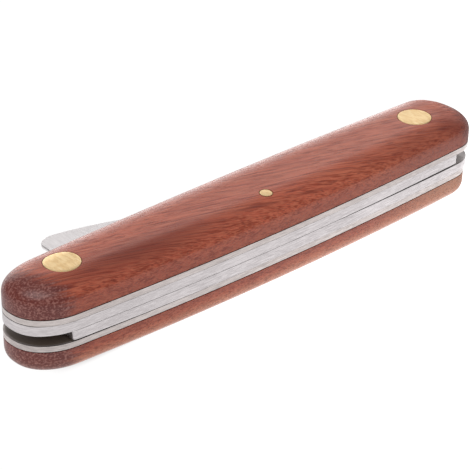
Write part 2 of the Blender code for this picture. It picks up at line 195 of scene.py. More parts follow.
GRAFTING_LENGTH = 76.0 * MM
GRAFTING_SPINE_V = 9.8 * MM
GRAFTING_DROP_U = 56.0 * MM
GRAFTING_TIP_THICKNESS = 1.0 * MM
GRAFTING_NICK = (40.0 * MM, 8.7 * MM)
NICK_DISC_RADIUS = 22.0 * MM
NICK_DEPTH = 0.35 * MM
NICK_WIDTH = 0.9 * MM
NICK_TILT = math.radians(28.0)

# Brass: rivet heads ground flush with the crown, and a pin peened over by hand
HEAD_EDGE = 0.07 * MM
HEAD_DEPTH = 1.54 * MM
SLEEVE_RADIUS = 2.1 * MM
STUD_RADIUS = 1.25 * MM
FIT_GAP = 0.06 * MM
PIN_DOME = 0.02 * MM
PIN_FOLLOW = 0.4
PIN_OUT_OF_ROUND = (0.04, 0.03)
ROUND_STEPS = 96
TOP_STEPS = 12

# Making: weld distance, reach of cutters past a piece, angles past which an edge stays crisp, search steps
WELD = 1e-7
CUTTER_MARGIN = 1.0 * MM
SHARP_ANGLE = math.radians(40.0)
BLADE_SHARP_ANGLE = math.radians(12.0)
HALVINGS = 40

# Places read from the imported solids, and what follows from them
UPPER_LOW, UPPER_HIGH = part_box("upper_scale")
LOWER_LOW, LOWER_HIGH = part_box("lower_scale")
LEFT_END = UPPER_LOW.x
RIGHT_END = UPPER_HIGH.x
LOWER_RIGHT_END = LOWER_HIGH.x
MIDDLE_Z = (UPPER_HIGH.z + LOWER_LOW.z) / 2
SCALE_INNER = UPPER_LOW.z - MIDDLE_Z
PIN_LOW, PIN_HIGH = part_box("spring_pin")
PIN_PLACE = (PIN_LOW + PIN_HIGH) / 2
PIN_RADIUS = (PIN_HIGH.x - PIN_LOW.x) / 2
HEAD_LOW, HEAD_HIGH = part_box("budding_rivet_stud")
HEAD_RADIUS = (HEAD_HIGH.x - HEAD_LOW.x) / 2
PIVOT_X = (HEAD_HIGH.x + HEAD_LOW.x) / 2
HEAD_UNDER = UPPER_HIGH.z - MIDDLE_Z - HEAD_DEPTH
TANG_CAM_U = -math.sqrt(TANG_CAM_RADIUS**2 - TANG_FLAT**2)
SPRING_HALF_RUN = PIVOT_X + SHOULDER_U
SPRING_TAPER = (PIN_LOBE_HALF_LENGTH, PIN_LOBE_HALF_LENGTH + PIVOT_X / 2)


# Shares, steps and turns


def between(value, start, full):
    """Share of the way from start to full, from 0 to 1."""
    return np.clip((value - start) / (full - start), 0.0, 1.0)


def smooth(value, start, full):
    """Cubic step from 0 at start to 1 at full."""
    share = between(value, start, full)
    return share * share * (3 - 2 * share)


def quarter_turn(steps):
    """Angles from 0 to a right angle."""
    return np.linspace(0.0, math.pi / 2, steps + 1)


# Meshes from grids of points


def grid_faces(rows, columns, closed):
    """Quads of a grid of points numbered row by row; a closed grid joins its last column to its first."""
    row = np.arange(rows - 1)[:, None]
    column = np.arange(columns if closed else columns - 1)[None, :]
    beside = (column + 1) % columns
    corners = (
        row * columns + column,
        row * columns + beside,
        (row + 1) * columns + beside,
        (row + 1) * columns + column,
    )
    return np.stack(np.broadcast_arrays(*corners), axis=-1).reshape(-1, 4)


def shape(name, closed_grids=(), open_grids=(), caps=()):
    """One object from grids and flat loops of points that meet edge to edge, welded where they meet."""
    points, faces, count = [], [], 0
    for grid, closed in [(g, True) for g in closed_grids] + [(g, False) for g in open_grids]:
        rows, columns = grid.shape[:2]
        points.append(grid.reshape(-1, 3))
        faces += (grid_faces(rows, columns, closed) + count).tolist()
        count += rows * columns
    for loop in caps:
        points.append(loop)
        faces.append(list(range(count, count + len(loop))))
        count += len(loop)
    mesh = bpy.data.meshes.new(name)
    mesh.from_pydata(np.concatenate(points).tolist(), [], faces)
    welded = bmesh.new()
    welded.from_mesh(mesh)
    bmesh.ops.remove_doubles(welded, verts=welded.verts, dist=WELD)
    bmesh.ops.recalc_face_normals(welded, faces=welded.faces)
    welded.to_mesh(mesh)
    welded.free()
    made = bpy.data.objects.new(name, mesh)
    bpy.context.scene.collection.objects.link(made)
    return made


def turned(place, radii, heights):
    """Grid of a turned surface: each radius swept round an upright axis at its height. Radii and heights may
    vary round the axis."""
    angle = np.linspace(0.0, math.tau, ROUND_STEPS, endpoint=False)
    radius = np.reshape(radii, (len(radii), -1))
    x = place[0] + radius * np.cos(angle)
    y = place[1] + radius * np.sin(angle)
    z = np.broadcast_to(np.reshape(heights, (len(radii), -1)), x.shape)
    return np.stack([x, y, z], axis=-1)


def rod_cutter(name, place, radius, low, high):
    """Upright rod from low to high that cuts a round hole."""
    return shape(name, [turned(place, [0.0, radius, radius, 0.0], [low, low, high, high])])


def cut(piece, cutters):
    """Cuts the cutters out of a piece for good, and removes them."""
    for cutter in cutters:
        modifier = piece.modifiers.new(cutter.name, "BOOLEAN")
        modifier.operation = "DIFFERENCE"
        modifier.object = cutter
    graph = bpy.context.evaluated_depsgraph_get()
    piece.data = bpy.data.meshes.new_from_object(piece.evaluated_get(graph))
    piece.modifiers.clear()
    for cutter in cutters:
        bpy.data.objects.remove(cutter)


def read_points(piece):
    """Places of a piece's points, as an array with a row for each."""
    values = np.empty(len(piece.data.vertices) * 3, np.float32)
    piece.data.vertices.foreach_get("co", values)
    return values.reshape(-1, 3).astype(float)


def mark(piece, name, values):
    """Stores a number on each point of a piece, for its finish to read."""
    piece.data.attributes.new(name, "FLOAT", "POINT").data.foreach_set("value", values.astype(np.float32))


def finish_piece(piece, finish, body, node, sharp_angle=SHARP_ANGLE):
    """Shades a piece, gives it its finish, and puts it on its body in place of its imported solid.

    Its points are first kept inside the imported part's box, whose facets lie a few micrometres inside the true
    curves.
    """
    inside = np.clip(read_points(piece), *np.array(CAD_BOX, dtype=np.float32))
    piece.data.vertices.foreach_set("co", inside.astype(np.float32).ravel())
    piece.data.update()
    piece.data.shade_smooth()
    piece.data.set_sharp_from_angle(angle=sharp_angle)
    normals = piece.modifiers.new("flat_faces_stay_flat", "WEIGHTED_NORMAL")
    normals.keep_sharp = True
    piece.data.materials.clear()
    piece.data.materials.append(finish)
    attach(piece, body)
    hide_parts(node)


# Outline of the handle


def end_share(past, length):
    """Share of the full width left past the start of a rounded end: a superellipse quarter."""
    share = between(past, 0.0, length)
    return (1 - share**END_EXPONENT) ** (1 / END_EXPONENT)


def end_rounds(inset):
    """Lengths of the rounded left and right ends, which shrink in a line as the outline steps in."""
    return LEFT_ROUND - inset * INSET_ROUNDING, RIGHT_ROUND - inset * INSET_ROUNDING


def half_width(x, side, right_end, inset=0.0):
    """Half width of the back (side -1) or front (side 1) at x, stepped in by an inset: a straight taper and a
    parabolic swell, rounded at both ends."""
    is_back = np.asarray(side) < 0
    left = np.where(is_back, BACK_WIDTHS[0], FRONT_WIDTHS[0])
    right = np.where(is_back, BACK_WIDTHS[1], FRONT_WIDTHS[1])
    swell = np.where(is_back, BACK_SWELL, FRONT_SWELL)
    taper = (left + right) / 2 + (right - left) / 2 * x / GAUGE_X
    half = taper + swell * (1 - (x / GAUGE_X) ** 2) - inset
    left_round, right_round = end_rounds(inset)
    half = half * end_share(LEFT_END + inset + left_round - x, left_round)
    return half * end_share(x - right_end + inset + right_round, right_round)


def outline_stations(right_end, inset):
    """X stations from the left end to the right end, evenly turned round the ends, a row for each inset."""
    inset = np.reshape(inset, (-1, 1))
    turn = quarter_turn(END_STEPS)[:-1]
    rounding = 1 - np.cos(turn) ** (2 / END_EXPONENT)
    left_round, right_round = end_rounds(inset)
    left = LEFT_END + inset + left_round * rounding
    right = right_end - inset - right_round * rounding
    start = LEFT_END + inset + left_round
    middle = start + (right_end - inset - right_round - start) * np.linspace(0.0, 1.0, SIDE_STEPS + 1)
    return np.concatenate([left, middle, right[:, ::-1]], axis=1)


def outline_rings(right_end, insets, heights):
    """Rings round the handle, each stepped in by its inset at its height: out along the handle's back, and
    home along its front."""
    inset = np.reshape(insets, (-1, 1))
    x = outline_stations(right_end, inset)
    back = -half_width(x, -1, right_end, inset)
    front = half_width(x, 1, right_end, inset)
    ring_x = np.concatenate([x, x[:, -2:0:-1]], axis=1)
    ring_y = np.concatenate([back, front[:, -2:0:-1]], axis=1)
    ring_z = np.broadcast_to(np.reshape(heights, (-1, 1)), ring_x.shape)
    return np.stack([ring_x, ring_y, ring_z], axis=-1)


def across(ring, steps):
    """Flat grid that fills a ring: straight lines from each point of its back to the point in front."""
    count = len(ring) // 2 + 1
    back = ring[:count]
    front = np.concatenate([ring[:1], ring[: count - 1 : -1], ring[count - 1 : count]])
    share = np.linspace(0.0, 1.0, steps + 1)[:, None, None]
    return back + (front - back) * share


def eased_levels(low, high, radius):
    """Insets and heights of a plate's edge: a quarter circle, an upright face, and a quarter circle."""
    turn = quarter_turn(EASE_STEPS)
    inset = radius * (1 - np.sin(turn))
    rise = radius * (1 - np.cos(turn))
    return np.concatenate([inset, inset[::-1]]), np.concatenate([low + rise, high - rise[::-1]])


# Wooden scales


def crown_superellipse(inset):
    """Share of the crown's rise at a distance in from the outline, a superellipse over the half width."""
    across_share = np.clip(1 - inset / CROWN_HALF_WIDTH, 0.0, 1.0)
    return (1 - across_share**CROWN_EXPONENT) ** (1 / CROWN_ROOT)


def crown_height(inset):
    """Height of a scale above its liner: wall and superellipse, then a parabola that levels out."""
    full = crown_superellipse(CROWN_FULL_INSET)
    start = crown_superellipse(CROWN_EASE_START) / full
    before = crown_superellipse(CROWN_EASE_START - CROWN_SLOPE_STEP) / full
    slope = (start - before) / CROWN_SLOPE_STEP
    ease_length = 2 * (1 - start) / slope
    past = np.clip(inset - CROWN_EASE_START, 0.0, ease_length)
    eased = start + slope * (past - past**2 / (2 * ease_length))
    share = np.where(inset < CROWN_EASE_START, crown_superellipse(inset) / full, eased)
    return SCALE_WALL + CROWN_RISE * share


def inset_at(x, y, right_end):
    """Distance in from the outline at (x, y), found by halving: the inset whose outline runs through it."""
    low = np.zeros_like(x)
    high = np.full_like(x, CROWN_HALF_WIDTH)
    for _ in range(HALVINGS):
        middle = (low + high) / 2
        inside = np.abs(y) < half_width(x, np.sign(y), right_end, middle)
        low = np.where(inside, middle, low)
        high = np.where(inside, high, middle)
    return low


def crown_at(x, y, right_end):
    """Height of a scale's crown above the knife's middle plane at (x, y)."""
    return SCALE_INNER + crown_height(inset_at(x, y, right_end))


def make_scale(name, up, right_end, finish):
    """Scale: rings of the outline go round the groove at the liner, over the wood's edge by a quarter circle,
    and in over the crown, closer together near its edge by a square. Straight lines fill the land and the
    inner face."""
    turn = quarter_turn(EASE_STEPS)[:-1]
    crown_inset = CROWN_LAST_INSET * np.linspace(0.0, 1.0, CROWN_STEPS + 1) ** 2
    ease_inset = WOOD_EDGE * (1 - np.sin(turn))
    ease_height = WOOD_SEAM + WOOD_EDGE * (1 - np.cos(turn))
    insets = np.concatenate([[WOOD_SEAM_DEPTH, WOOD_SEAM_DEPTH], ease_inset, [0.0], crown_inset])
    edge_top = WOOD_SEAM + WOOD_EDGE
    heights = np.concatenate([[0.0, WOOD_SEAM], ease_height, [edge_top], crown_height(crown_inset)])
    rings = outline_rings(right_end, insets, MIDDLE_Z + up * (SCALE_INNER + heights))
    piece = shape(name, [rings], [across(rings[0], LAND_STEPS), across(rings[-1], LAND_STEPS)])
    cutters = []
    for side in (-1, 1):
        seat = HEAD_RADIUS + HOLE_GAP
        hole = SLEEVE_RADIUS + FIT_GAP
        top = UPPER_HIGH.z - MIDDLE_Z + CUTTER_MARGIN
        floor = HEAD_UNDER - FIT_GAP
        levels = np.array([top, top, floor, floor, 0.0, 0.0])
        grid = turned((side * PIVOT_X, 0.0), [0.0, seat, seat, hole, hole, 0.0], MIDDLE_Z + up * levels)
        cutters.append(shape(f"{name}_seat_{side}", [grid]))
    reach = (-CUTTER_MARGIN, 2 * MIDDLE_Z + CUTTER_MARGIN)
    cutters.append(rod_cutter(f"{name}_pin_hole", PIN_PLACE, PIN_RADIUS + HOLE_GAP, *reach))
    cut(piece, cutters)
    finish_piece(piece, finish, "handle", name.replace("_wood", ""))


# Steel liners and springs


def make_liner(name, up, right_end, finish):
    """Liner: a plate of the handle's outline with eased edges and rings over its inner face, drilled for the
    rivets and the pin. Painted shade, with old oil, darkens the inner face from a little way in."""
    node = name.replace("_plate", "")
    low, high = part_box(node)
    inner = low.z if up > 0 else high.z
    insets, heights = eased_levels(low.z, high.z, STEEL_EDGE)
    if up > 0:
        insets, heights = insets[::-1], heights[::-1]
    insets = np.concatenate([insets, INNER_RINGS])
    heights = np.concatenate([heights, np.full(len(INNER_RINGS), inner)])
    rings = outline_rings(right_end, insets, heights)
    piece = shape(name, [rings], [across(rings[0], 1), across(rings[-1], 1)])
    reach = (low.z - CUTTER_MARGIN, high.z + CUTTER_MARGIN)
    places = [((side * PIVOT_X, 0.0), SLEEVE_RADIUS) for side in (-1, 1)] + [(PIN_PLACE, PIN_RADIUS)]
    cutters = [
        rod_cutter(f"{name}_hole_{index}", place, radius + FIT_GAP, *reach)
        for index, (place, radius) in enumerate(places)
    ]
    cut(piece, cutters)
    x, y, z = read_points(piece).T
    depth = smooth(inset_at(x, y, right_end), INNER_SHADE_START, INNER_SHADE_FULL)
    # painted shade, with old oil, on the liner's inner face, full from a little way in
    mark(piece, "oil_and_painted_shade", np.where(np.abs(z - inner) < ON_FACE, depth, 0.0))
    finish_piece(piece, finish, "handle", node)


def spring_inner_y(run):
    """Inner face of a spring at a run from the pin: a quarter ellipse at the anchor, a raised cosine for the
    pin's lobe, and a bar with a straight taper."""
    share = between(run, ANCHOR_START, ANCHOR_START + ANCHOR_LENGTH)
    anchor = (ANCHOR_TOP - SPRING_INNER_FACE) * np.sqrt(1 - share**2)
    lobe_share = np.clip(run / PIN_LOBE_HALF_LENGTH, -1.0, 1.0)
    lobe = (PIN_LOBE_TOP - SPRING_INNER_FACE) * 0.5 * (1 + np.cos(math.pi * lobe_share))
    taper_share = between(run, *SPRING_TAPER)
    taper = (SPRING_TANG_FACE - SPRING_INNER_FACE) * taper_share
    return SPRING_INNER_FACE + anchor + lobe + taper


def spring_outline(anchor, free_end, right_end):
    """Outline of a spring: a round corner at the free end, the handle's back and round end, and the inner
    face."""
    turn = quarter_turn(SPRING_STEPS)
    corner_run = free_end - SPRING_CORNER
    corner_y = -half_width(-anchor * corner_run, -1, right_end) + SPRING_CORNER
    corner_runs = corner_run + SPRING_CORNER * np.cos(turn)
    corner = np.stack([corner_runs, corner_y - SPRING_CORNER * np.sin(turn)], axis=-1)
    runs = np.sort(-anchor * outline_stations(right_end, 0.0)[0])
    back_runs = runs[runs < corner_run - SPRING_CORNER][::-1]
    back = np.stack([back_runs, -half_width(-anchor * back_runs, -1, right_end)], axis=-1)
    front_runs = runs[1:]
    front_y = half_width(-anchor * front_runs, 1, right_end)
    kept = (front_runs < ANCHOR_START) & (front_y < ANCHOR_TOP)
    front = np.stack([front_runs[kept], front_y[kept]], axis=-1)
    shoulder = ANCHOR_START + ANCHOR_LENGTH * np.sin(turn)
    lobe = PIN_LOBE_HALF_LENGTH * np.linspace(-1.0, 1.0, 2 * SPRING_STEPS + 1)
    bar = np.linspace(PIN_LOBE_HALF_LENGTH, free_end, SPRING_STEPS + 1)[1:]
    inner_runs = np.concatenate([shoulder, lobe, bar])
    inner = np.stack([inner_runs, spring_inner_y(inner_runs)], axis=-1)
    outline = np.concatenate([corner, back, front, inner])
    outline[:, 0] *= -anchor
    x, y = outline.T
    area = np.sum(x * np.roll(y, -1) - np.roll(x, -1) * y)
    return outline if area > 0 else outline[::-1]


def stepped_in(outline, amount):
    """An anticlockwise outline moved inwards along its normals, each square to the line between the points on
    either side."""
    tangent = np.roll(outline, -1, axis=0) - np.roll(outline, 1, axis=0)
    tangent /= np.linalg.norm(tangent, axis=1, keepdims=True)
    return outline + amount * np.stack([-tangent[:, 1], tangent[:, 0]], axis=-1)


def make_spring(name, anchor, faces_of, right_end, finish):
    """Spring: its outline as a plate with eased edges, between its own under and upper face."""
    node = name.replace("_bar", "")
    low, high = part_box(node)
    free_end = high.x if anchor < 0 else -low.x
    outline = spring_outline(anchor, free_end, right_end)
    insets, rises = eased_levels(0.0, 0.0, STEEL_EDGE)
    rings = []
    for level, (inset, rise) in enumerate(zip(insets, rises)):
        ring = stepped_in(outline, inset)
        under, upper = faces_of(ring[:, 0])
        rings.append(np.column_stack([ring, rise + (upper if level > EASE_STEPS else under)]))
    rings = np.array(rings)
    piece = shape(name, [rings], caps=[rings[0], rings[-1]])
    reach = (low.z - CUTTER_MARGIN, high.z + CUTTER_MARGIN)
    cutters = [
        rod_cutter(f"{name}_rivet_hole", (anchor * PIVOT_X, 0.0), SLEEVE_RADIUS + FIT_GAP, *reach),
        rod_cutter(f"{name}_pin_hole", PIN_PLACE, PIN_RADIUS + FIT_GAP, *reach),
    ]
    cut(piece, cutters)
    points = read_points(piece)
    under, upper = faces_of(points[:, 0])
    on_face = np.minimum(points[:, 2] - under, upper - points[:, 2]) < ON_FACE
    # painted shade, with old oil, on the spring's faces between the other plates
    mark(piece, "oil_and_painted_shade", np.where(on_face, SPRING_INNER_SHADE, 0.0))
    finish_piece(piece, finish, "handle", node)


def budding_spring_faces(x):
    """Heights of the upper spring's faces: close under its liner at the free end, a hair lower towards the
    anchor by a cubic step, with a small drop at its nose."""
    gap = SEAM + LINER_GAP * smooth(x, *LINER_GAP_X)
    nose = NOSE_DROP * smooth(x, NOSE_X, NOSE_X - NOSE_LENGTH)
    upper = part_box("upper_liner")[0].z - gap - nose
    return upper - BUDDING_SPRING_THICKNESS, upper


def grafting_spring_faces(x):
    """Heights of the lower spring's faces: the under face lifts off its liner towards the free end by a power
    curve. The upper face lies just under the other spring and falls away in a line to the anchor."""
    lift_share = between(x, LIFT_X, -SPRING_HALF_RUN)
    fall_share = between(x, FALL_X, SPRING_HALF_RUN)
    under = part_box("lower_liner")[1].z + SEAM + GRAFTING_SPRING_LIFT * lift_share**LIFT_EXPONENT
    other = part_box("upper_liner")[0].z - SEAM - BUDDING_SPRING_THICKNESS
    return under, other - SPRING_GAP - GRAFTING_SPRING_FALL * fall_share


# Blades


def tang_low(u):
    """Edge side of the tang: cam circle, closed flat, then a cubic step up to the heel."""
    cam = -np.sqrt(np.maximum(0.0, TANG_CAM_RADIUS**2 - u**2))
    choil = -TANG_FLAT + (EDGE_V + TANG_FLAT) * smooth(u, CHOIL_START_U, HEEL_U)
    return np.where(u < TANG_CAM_U, cam, choil)


def tang_high(u):
    """Spine side of the tang: cam circle, then the open flat up to the shoulder."""
    cam = np.sqrt(np.maximum(0.0, TANG_CAM_RADIUS**2 - u**2))
    return np.where(u < TANG_CAM_U, cam, TANG_FLAT)


def spine_ease(u, level):
    """Spine that eases from the shoulder's height to a level by a cubic step."""
    return SHOULDER_V + (level - SHOULDER_V) * smooth(u, SHOULDER_U, SHOULDER_U + SPINE_EASE_LENGTH)


def budding_low(u):
    """Edge of the budding blade: straight, then a quarter ellipse up to the blunt end."""
    share = between(u, BUDDING_BELLY_U, BUDDING_LENGTH)
    return BUDDING_BELLY_TOP - (BUDDING_BELLY_TOP - EDGE_V) * np.sqrt(1 - share**2)


def budding_high(u):
    """Spine of the budding blade: level, raised by half a cosine to the bark lifter, with a round corner."""
    before = np.minimum(u, LIFTER_CORNER_U)
    share = np.maximum(0.0, (before - LIFTER_START) / LIFTER_LENGTH)
    spine = spine_ease(before, BUDDING_SPINE_V) + LIFTER_RISE * 0.5 * (1 - np.cos(math.pi * share))
    past = between(u, LIFTER_CORNER_U, BUDDING_LENGTH)
    rounded = (1 - past**LIFTER_CORNER_EXPONENT) ** (1 / LIFTER_CORNER_EXPONENT)
    return np.where(u < LIFTER_CORNER_U, spine, LIFTER_CORNER_V + (spine - LIFTER_CORNER_V) * rounded)


def grafting_low(u):
    """Edge of the grafting blade: straight."""
    return np.full_like(u, EDGE_V)


def grafting_high(u):
    """Spine of the grafting blade: level, then a quarter ellipse down to the point."""
    level = spine_ease(u, GRAFTING_SPINE_V)
    share = between(u, GRAFTING_DROP_U, GRAFTING_LENGTH)
    return EDGE_V + (level - EDGE_V) * np.sqrt(1 - share**2)


# What sets one blade apart from the other
BladeForm = namedtuple("BladeForm", "low high length curve_start grind_end tip_thickness nick")
BUDDING_FORM = BladeForm(
    low=budding_low,
    high=budding_high,
    length=BUDDING_LENGTH,
    curve_start=BUDDING_BELLY_U,
    grind_end=BUDDING_GRIND_END + GRIND_RUNOUT,
    tip_thickness=BUDDING_TIP_THICKNESS,
    nick=BUDDING_NICK,
)
GRAFTING_FORM = BladeForm(
    low=grafting_low,
    high=grafting_high,
    length=GRAFTING_LENGTH,
    curve_start=GRAFTING_DROP_U,
    grind_end=GRAFTING_LENGTH + GRIND_RUNOUT,
    tip_thickness=GRAFTING_TIP_THICKNESS,
    nick=GRAFTING_NICK,
)


def blade_stations(length, curve_start):
    """U stations: the cam and the tip close up towards their ends by a sine, with even runs between."""
    turn = quarter_turn(TANG_STEPS)
    cam = TANG_CAM_U + (-TANG_CAM_RADIUS + END_FACE_INSET - TANG_CAM_U) * np.sin(turn[::-1])
    choil = np.linspace(CHOIL_START_U, HEEL_U, TANG_STEPS + 1)
    plunge = np.linspace(HEEL_U, HEEL_U + PLUNGE_LENGTH, TANG_STEPS + 1)[1:]
    straight = np.linspace(HEEL_U + PLUNGE_LENGTH, curve_start, STRAIGHT_STEPS + 1)[1:]
    tip_turn = quarter_turn(TIP_STEPS)[1:]
    tip = curve_start + (length - END_FACE_INSET - curve_start) * np.sin(tip_turn)
    shoulder = [SHOULDER_U, SHOULDER_U + SHOULDER_STEP]
    return np.concatenate([cam, shoulder, choil, plunge, straight, tip])


def blade_sections(u, low, high, spine, grind_end):
    """Sections across a blade: eased spine, flat land, a flat grind down to the edge, and a flat back.

    Each section runs from the back of the spine over its top and down the ground side to the edge. The grind
    fades in after the heel by a cubic step, and out towards its end into a small chamfer. Where a section is
    thin or narrow, its eased corners take no more than a share of it. The bend at the top of the grind is a
    parabola, which is a quarter of the way down at its middle.
    """
    runout = smooth(u, grind_end, grind_end - GRIND_RUNOUT)
    edge = spine + (EDGE_THICKNESS - spine) * smooth(u, HEEL_U, HEEL_U + PLUNGE_LENGTH) * runout
    chamfer = LIFTER_CHAMFER * (1 - runout)
    steepness = np.sqrt(1 + np.gradient(low, u) ** 2)
    chamfer_inset = np.minimum(chamfer / CHAMFER_SLOPE * steepness, (high - low) * EDGE_LIMIT)
    grind = low + (high - low) * GRIND_SHARE
    ease = np.minimum(SPINE_EDGE, spine * EDGE_LIMIT)
    soft = np.minimum(GRIND_SOFTNESS, (high - low) * SOFT_LIMIT)
    base = -spine / 2
    fall = (spine - edge) * soft / np.maximum(grind - low, soft)
    corner = ease * (1 - math.sqrt(0.5))
    places = [
        (high - ease, base),
        (high - corner, base + corner),
        (high, base + ease),
        (high, base + spine - ease),
        (high - corner, base + spine - corner),
        (high - ease, base + spine),
        (grind + soft, base + spine),
        (grind, base + spine - fall / 4),
        (grind - soft, base + spine - fall),
        (low + chamfer_inset, base + edge),
        (low, base + edge - chamfer),
        (low, base),
        (grind, base),
    ]
    v = np.stack([place[0] for place in places], axis=-1)
    z = np.stack([place[1] for place in places], axis=-1)
    end_drop = np.maximum(0.0, chamfer - CHAMFER_SLOPE * (u[-1] - u))
    z = np.minimum(z, (base + spine - end_drop)[:, None])
    return np.stack([np.broadcast_to(u[:, None], v.shape), v, z], axis=-1)


def nick_cutter(name, nick, face, place):
    """Thin tilted disc whose rim dips into the blade's face, as the cutter that mills a nail nick."""
    radii = [0.0, NICK_DISC_RADIUS, NICK_DISC_RADIUS, 0.0]
    disc = turned((0.0, 0.0), radii, [0.0, 0.0, NICK_WIDTH, NICK_WIDTH])
    disc = disc @ np.array(Matrix.Rotation(math.pi / 2 + NICK_TILT, 3, "X")).T
    lowest = np.unravel_index(np.argmin(disc[..., 2]), disc.shape[:2])
    disc += np.array([nick[0], nick[1] - disc[lowest][1], face - NICK_DEPTH - disc[lowest][2]])
    return shape(name, [place(disc)])


def make_blade(name, direction, up, form, finish):
    """Blade: its sections lofted from the tang to the tip, drilled for its rivet and nicked for a fingernail.
    Painted shade, with old oil, darkens the tang, which stays inside the handle."""
    node = name.replace("_ground", "")
    joint = next(joint for joint in frame["joints"] if joint["child"] == node)
    pivot = np.array(joint["pos_m"])

    def thickness(u):
        """Thickness at u: full up to the heel, then a straight taper to the tip."""
        run = between(u, HEEL_U, form.length)
        return BLADE_THICKNESS + (form.tip_thickness - BLADE_THICKNESS) * run

    def place(points):
        """Points along the blade as places in the knife: turned its way and moved to its pivot."""
        return pivot + points * np.array([direction, 1.0, up])

    u = blade_stations(form.length, form.curve_start)
    low = np.where(u < HEEL_U, tang_low(u), form.low(u))
    high = np.where(u <= SHOULDER_U, tang_high(u), form.high(u))
    sections = place(blade_sections(u, low, high, thickness(u), form.grind_end))
    piece = shape(name, [sections], caps=[sections[0], sections[-1]])
    reach = BLADE_THICKNESS / 2 + CUTTER_MARGIN
    hole = rod_cutter(f"{name}_hole", pivot, SLEEVE_RADIUS + FIT_GAP, pivot[2] - reach, pivot[2] + reach)
    nick_face = thickness(form.nick[0]) / 2
    cut(piece, [hole, nick_cutter(f"{name}_nick", form.nick, nick_face, place)])
    run = direction * (read_points(piece)[:, 0] - pivot[0])
    # painted shade, with old oil, on the tang inside the handle
    mark(piece, "oil_and_painted_shade", smooth(run, *TANG_INNER_SHADE_U))
    finish_piece(piece, finish, node, node, BLADE_SHARP_ANGLE)


# Brass rivets and pin


def head_rows(place, radius, edge, right_end):
    """Radii and heights of a head that follows the wood's crown: rings from its middle, and a rim eased by a
    quarter circle."""
    turn = quarter_turn(EASE_STEPS)[1:]
    flat = np.linspace(0.0, radius - edge, TOP_STEPS)
    radii = np.concatenate([flat, radius - edge + edge * np.sin(turn)])
    drop = np.concatenate([np.zeros(TOP_STEPS), edge * (1 - np.cos(turn))])
    points = turned(place, radii, np.zeros(len(radii)))
    return radii, crown_at(points[..., 0], points[..., 1], right_end) - drop[:, None]


def level_rows(heights):
    """Heights of a turned piece that are the same all round, a row for each."""
    return np.repeat(np.reshape(heights, (-1, 1)), ROUND_STEPS, axis=1)


def make_rivet(name, x, finish):
    """Rivet halves: a stud with the upper head, and a sleeve round it with the lower head. Each is turned
    from the rows of its head and the corners of its shank."""
    place = (x, 0.0)
    end = FIT_GAP - HEAD_UNDER
    bore = STUD_RADIUS + FIT_GAP
    stud = [(STUD_RADIUS, HEAD_UNDER), (STUD_RADIUS, end), (0.0, end)]
    sleeve_outside = [(SLEEVE_RADIUS, HEAD_UNDER), (SLEEVE_RADIUS, end)]
    sleeve_bore = [(bore, end), (bore, HEAD_UNDER), (0.0, HEAD_UNDER)]
    for half, up, right_end, shank in (
        ("stud", 1, RIGHT_END, stud),
        ("sleeve", -1, LOWER_RIGHT_END, sleeve_outside + sleeve_bore),
    ):
        head_radii, head_heights = head_rows(place, HEAD_RADIUS, HEAD_EDGE, right_end)
        shank_radii, shank_heights = np.array([(HEAD_RADIUS, HEAD_UNDER), *shank]).T
        radii = np.concatenate([head_radii, shank_radii])
        heights = np.concatenate([head_heights, level_rows(shank_heights)])
        piece = shape(f"{name}_{half}_brass", [turned(place, radii, MIDDLE_Z + up * heights)])
        finish_piece(piece, finish, "handle", f"{name}_{half}")


def make_pin(name, finish):
    """Spring pin: a rod whose ends are peened over, out of round by two small cosines, domed by a parabola,
    and nearer level than the crown round them."""
    angle = np.linspace(0.0, math.tau, ROUND_STEPS, endpoint=False)
    second, third = PIN_OUT_OF_ROUND
    round_share = 1 - second * (1 + np.cos(2 * angle)) / 2 - third * (1 + np.cos(3 * angle)) / 2
    rows = []
    for up, right_end in ((1, RIGHT_END), (-1, LOWER_RIGHT_END)):
        radii, heights = head_rows(PIN_PLACE, PIN_RADIUS, PIN_DOME, right_end)
        middle = heights[0, 0]
        heights = middle + PIN_FOLLOW * (heights - middle) - PIN_DOME * (radii[:, None] / PIN_RADIUS) ** 2
        rows.append((radii[:, None] * round_share, MIDDLE_Z + up * heights))
    radii = np.concatenate([rows[0][0], rows[1][0][::-1]])
    heights = np.concatenate([rows[0][1], rows[1][1][::-1]])
    pin = shape(name, [turned(PIN_PLACE, radii, heights)])
    finish_piece(pin, finish, "handle", name.replace("_brass", ""))


# Materials

# Rosewood: the lie and sway of its fibres, its dark end grain, and where its colour and its oil change,
# and where shade and light are painted on it
WOOD_FINISH = "oiled_rosewood"
FIBRE_TURN = math.radians(-16.0)
FIBRE_DIP = math.radians(2.0)
FIBRE_SWAY = 2.0 * MM
SWAY_CELL = (45.0 * MM, 12.0 * MM, 12.0 * MM)
END_GRAIN_DEPTHS = (5.5 * MM, 1.5 * MM)
END_GRAIN_SLANT = -0.3
END_GRAIN_MIDDLE = 1.5 * MM
END_GRAIN_RAGGEDNESS = 1.4 * MM
DRY_END_X = (44.0 * MM, 53.0 * MM)
SAPWOOD_X = (18.0 * MM, 50.0 * MM)
SAPWOOD_Y = (3.0 * MM, -5.0 * MM)
# painted shade on the walls beside the liners: heights above the middle where it starts and where it is full
PAINTED_WALL_SHADE_HEIGHTS = (SCALE_INNER + 4.0 * MM, SCALE_INNER + 1.4 * MM)
LOWER_WALL_SHADE_FADE = 0.7
# painted shadow under the lower liner, on the top of the lower scale's wall: heights where it starts and where
# it is full
PAINTED_LIP_SHADOW_HEIGHTS = (SCALE_INNER + 2.0 * MM, SCALE_INNER + 0.2 * MM)
